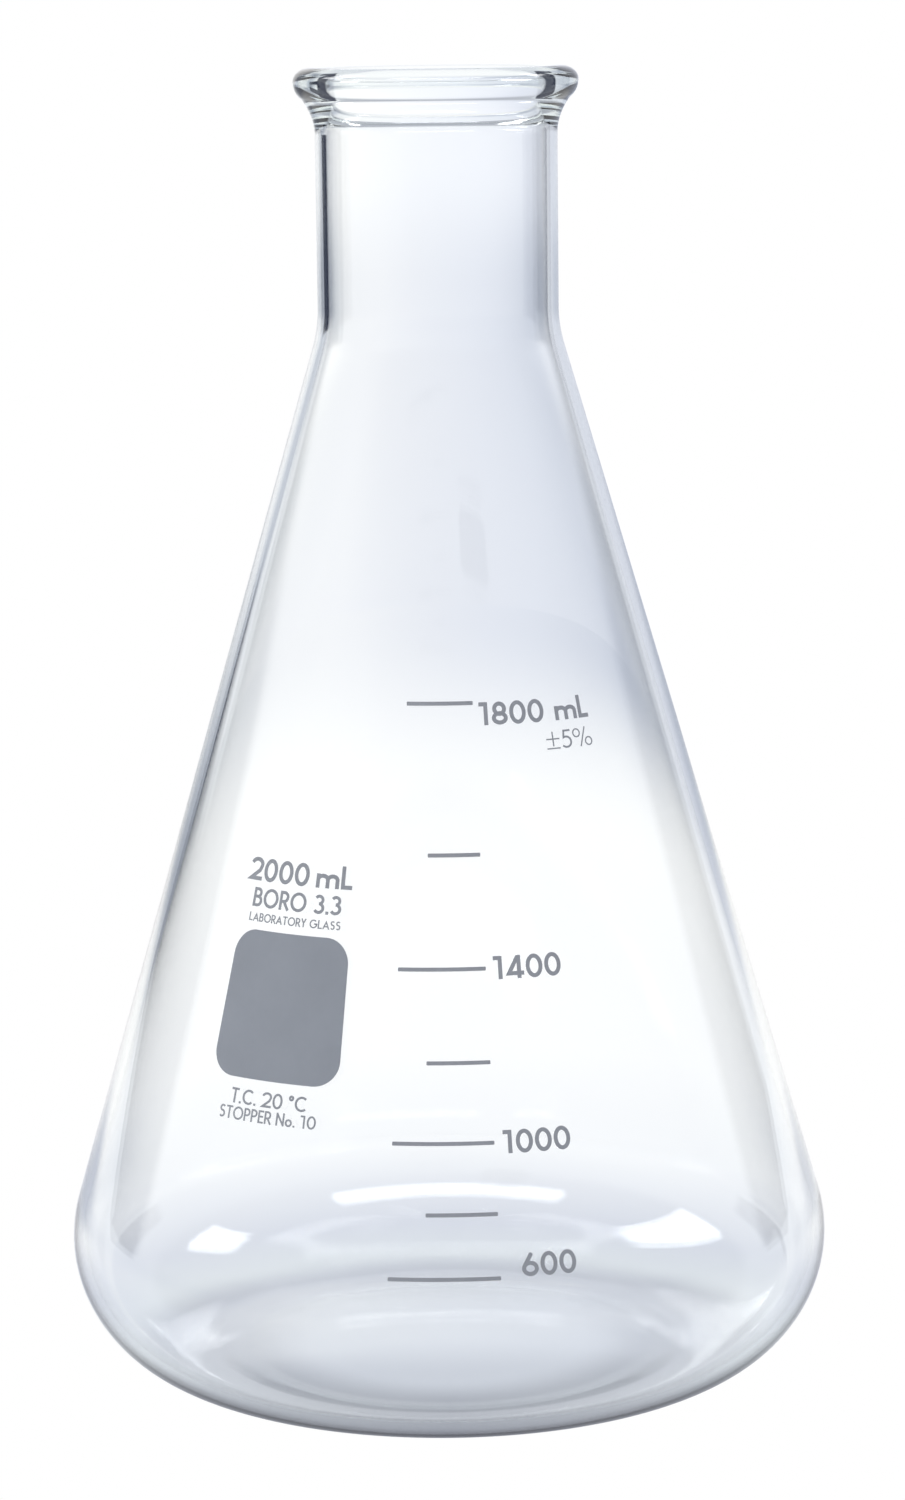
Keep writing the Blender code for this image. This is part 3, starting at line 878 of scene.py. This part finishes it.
# bearings in degrees, distances in metres and colour of each grey patch of painted shade on the table
painted_shade_patches = (
    (-54, -30, 0.19, 0.40, (0.62, 0.65, 0.74)),
    (32, 54, 0.22, 0.40, (0.76, 0.78, 0.84)),
)
patch_side_soft = math.radians(9)
patch_edge_soft = 0.05
white = (1.0, 1.0, 1.0)
table_sides = 96
table_rings = (0.1, 0.2, 0.4, 0.8, 1.2)
table_drop = 0.2 * MM


def table_mesh():
    """Round table top, in rings about the flask."""
    mesh = bmesh.new()
    centre = mesh.verts.new((0.0, 0.0, 0.0))
    rings = []
    for radius in table_rings:
        corners = []
        for angle in spread(0, math.tau, table_sides + 1)[:-1]:
            corners.append(mesh.verts.new((radius * math.cos(angle), radius * math.sin(angle), 0.0)))
        rings.append(corners)
    for step in range(table_sides):
        after = (step + 1) % table_sides
        mesh.faces.new((centre, rings[0][step], rings[0][after]))
        for inner, outer in zip(rings, rings[1:]):
            mesh.faces.new((inner[step], outer[step], outer[after], inner[after]))
    result = bpy.data.meshes.new("table_top")
    mesh.to_mesh(result)
    mesh.free()
    return result


def table_material():
    """White to the camera; to the glass it glows, with painted shadow and painted shade by distance and
    bearing.
    """
    material = bpy.data.materials.new("white_table")
    material.use_nodes = True
    tree = material.node_tree
    shader = tree.nodes["Principled BSDF"]
    shader.inputs["Base Color"].default_value = (0.0, 0.0, 0.0, 1.0)
    shader.inputs["Roughness"].default_value = 0.9
    shader.inputs["Specular IOR Level"].default_value = 0.0
    place = add_node(tree, "ShaderNodeTexCoord")
    axes = add_node(tree, "ShaderNodeSeparateXYZ")
    tree.links.new(place.outputs["Object"], axes.inputs["Vector"])
    bearing = bearing_of(tree, axes.outputs["X"], axes.outputs["Y"])
    edge = ring_of_walls(tree, bearing, table_edge)
    length = add_node(tree, "ShaderNodeVectorMath", operation="LENGTH")
    tree.links.new(place.outputs["Object"], length.inputs[0])
    distance = length.outputs["Value"]
    # painted shade close round the flask, darker towards the camera, and painted shade at the sides farther
    # out
    near_share = window(tree, distance, near_start, near_end, near_soft)
    near = mixed(tree, near_share, white, ring_of_walls(tree, bearing, painted_near_shade))
    far_share = eased(tree, distance, far_start, far_full)
    far = mixed(tree, far_share, white, ring_of_walls(tree, bearing, painted_far_shade))
    # painted shadow under the flask and painted glow farther out, times the painted shade close by and
    # farther out
    glow = combined(tree, "MULTIPLY", shade_ramp(tree, distance, painted_shadow_by_distance), near)
    glow = combined(tree, "MULTIPLY", glow, far)
    # painted glow and shade at the table's far edge, in the colours of the room's low ring
    glow = mixed(tree, eased(tree, distance, edge_start, edge_full), glow, edge)
    # grey patches of painted shade, seen only by the glass
    for start, end, near_edge, far_edge, colour in painted_shade_patches:
        across = window(tree, bearing, math.radians(start), math.radians(end), patch_side_soft)
        along = window(tree, distance, near_edge, far_edge, patch_edge_soft)
        glow = mixed(tree, product(tree, across, along), glow, colour)
    path = add_node(tree, "ShaderNodeLightPath")
    seen = mixed(tree, path.outputs["Is Camera Ray"], glow, white)
    tree.links.new(seen, shader.inputs["Emission Color"])
    shader.inputs["Emission Strength"].default_value = 1.0
    return material


table = bpy.data.objects.new("table_top", table_mesh())
table.location.z = -table_drop
bpy.context.scene.collection.objects.link(table)
table.data.materials.append(table_material())

ring_rise = (-0.07, -0.025)
upper_rise = (0.34, 0.46)
upper_room = (0.45, 0.47, 0.53)
dark = (0.02, 0.025, 0.05)
# bearing, half width, lowest, highest and softness of each black flag, in degrees
flags = (
    (-38.5, 8, -6.0, 1.2, 0.7),
    (-58, 13, -20, 10, 1.5),
    (56, 14, -20, 10, 1.5),
)
# bearing, half width, lowest and highest in degrees, and power of each lamp
boxes = (
    (180, 45, 36, 46, 7.0),
    (74, 9, 31, 47, 9.0),
    (-78, 12, 25, 55, 8.0),
)


def studio_world():
    """Walls, flags and lights for the glass, and a plain white backdrop for the camera."""
    world = bpy.data.worlds.new("studio")
    bpy.context.scene.world = world
    world.use_nodes = True
    tree = world.node_tree
    room = tree.nodes["Background"]
    place = add_node(tree, "ShaderNodeTexCoord")
    axes = add_node(tree, "ShaderNodeSeparateXYZ")
    tree.links.new(place.outputs["Generated"], axes.inputs["Vector"])
    rise = axes.outputs["Z"]
    bearing = bearing_of(tree, axes.outputs["X"], axes.outputs["Y"])
    low_ring = ring_of_walls(tree, bearing, table_edge)
    high_ring = ring_of_walls(tree, bearing, walls)
    total = mixed(tree, eased(tree, rise, *ring_rise), low_ring, high_ring)
    total = mixed(tree, eased(tree, rise, *upper_rise), total, upper_room)
    for centre, half_width, low, high, soft in flags:
        flag = panel(tree, bearing, rise, centre, half_width, low, high, soft)
        total = mixed(tree, flag, total, dark)
    for centre, half_width, low, high, power in boxes:
        lamp = product(tree, panel(tree, bearing, rise, centre, half_width, low, high), power)
        total = combined(tree, "ADD", total, lamp)
    tree.links.new(total, room.inputs["Color"])
    backdrop = add_node(tree, "ShaderNodeBackground")
    backdrop.inputs["Color"].default_value = (*white, 1.0)
    path = add_node(tree, "ShaderNodeLightPath")
    mix = add_node(tree, "ShaderNodeMixShader")
    tree.links.new(path.outputs["Is Camera Ray"], mix.inputs["Fac"])
    tree.links.new(room.outputs["Background"], mix.inputs[1])
    tree.links.new(backdrop.outputs["Background"], mix.inputs[2])
    tree.links.new(mix.outputs["Shader"], tree.nodes["World Output"].inputs["Surface"])


studio_world()


# Camera
# In front of the scale and a little above the lip, 0.9 m from the flask's axis, tipped down by twelve
# degrees and rolled by less than one. The lens is long, and shifted to bring the whole flask into the frame.

camera = bpy.data.cameras.new("camera")
camera.sensor_width = 36.0
camera.lens = 104.784
camera.shift_x = 0.0046
camera.shift_y = 0.1173
camera.clip_start = 0.01
camera.clip_end = 100.0
viewer = bpy.data.objects.new("camera", camera)
viewer.location = (0.0, -0.8982, 0.2842)
tilt = math.radians(11.95)
roll = -0.0120
tipped = Matrix.Rotation(math.pi / 2 - tilt, 3, "X")
rolled = Matrix.Rotation(roll, 3, "Z")
viewer.rotation_euler = (tipped @ rolled).to_euler()
bpy.context.scene.collection.objects.link(viewer)
bpy.context.scene.camera = viewer
bpy.context.scene.view_settings.view_transform = "Standard"
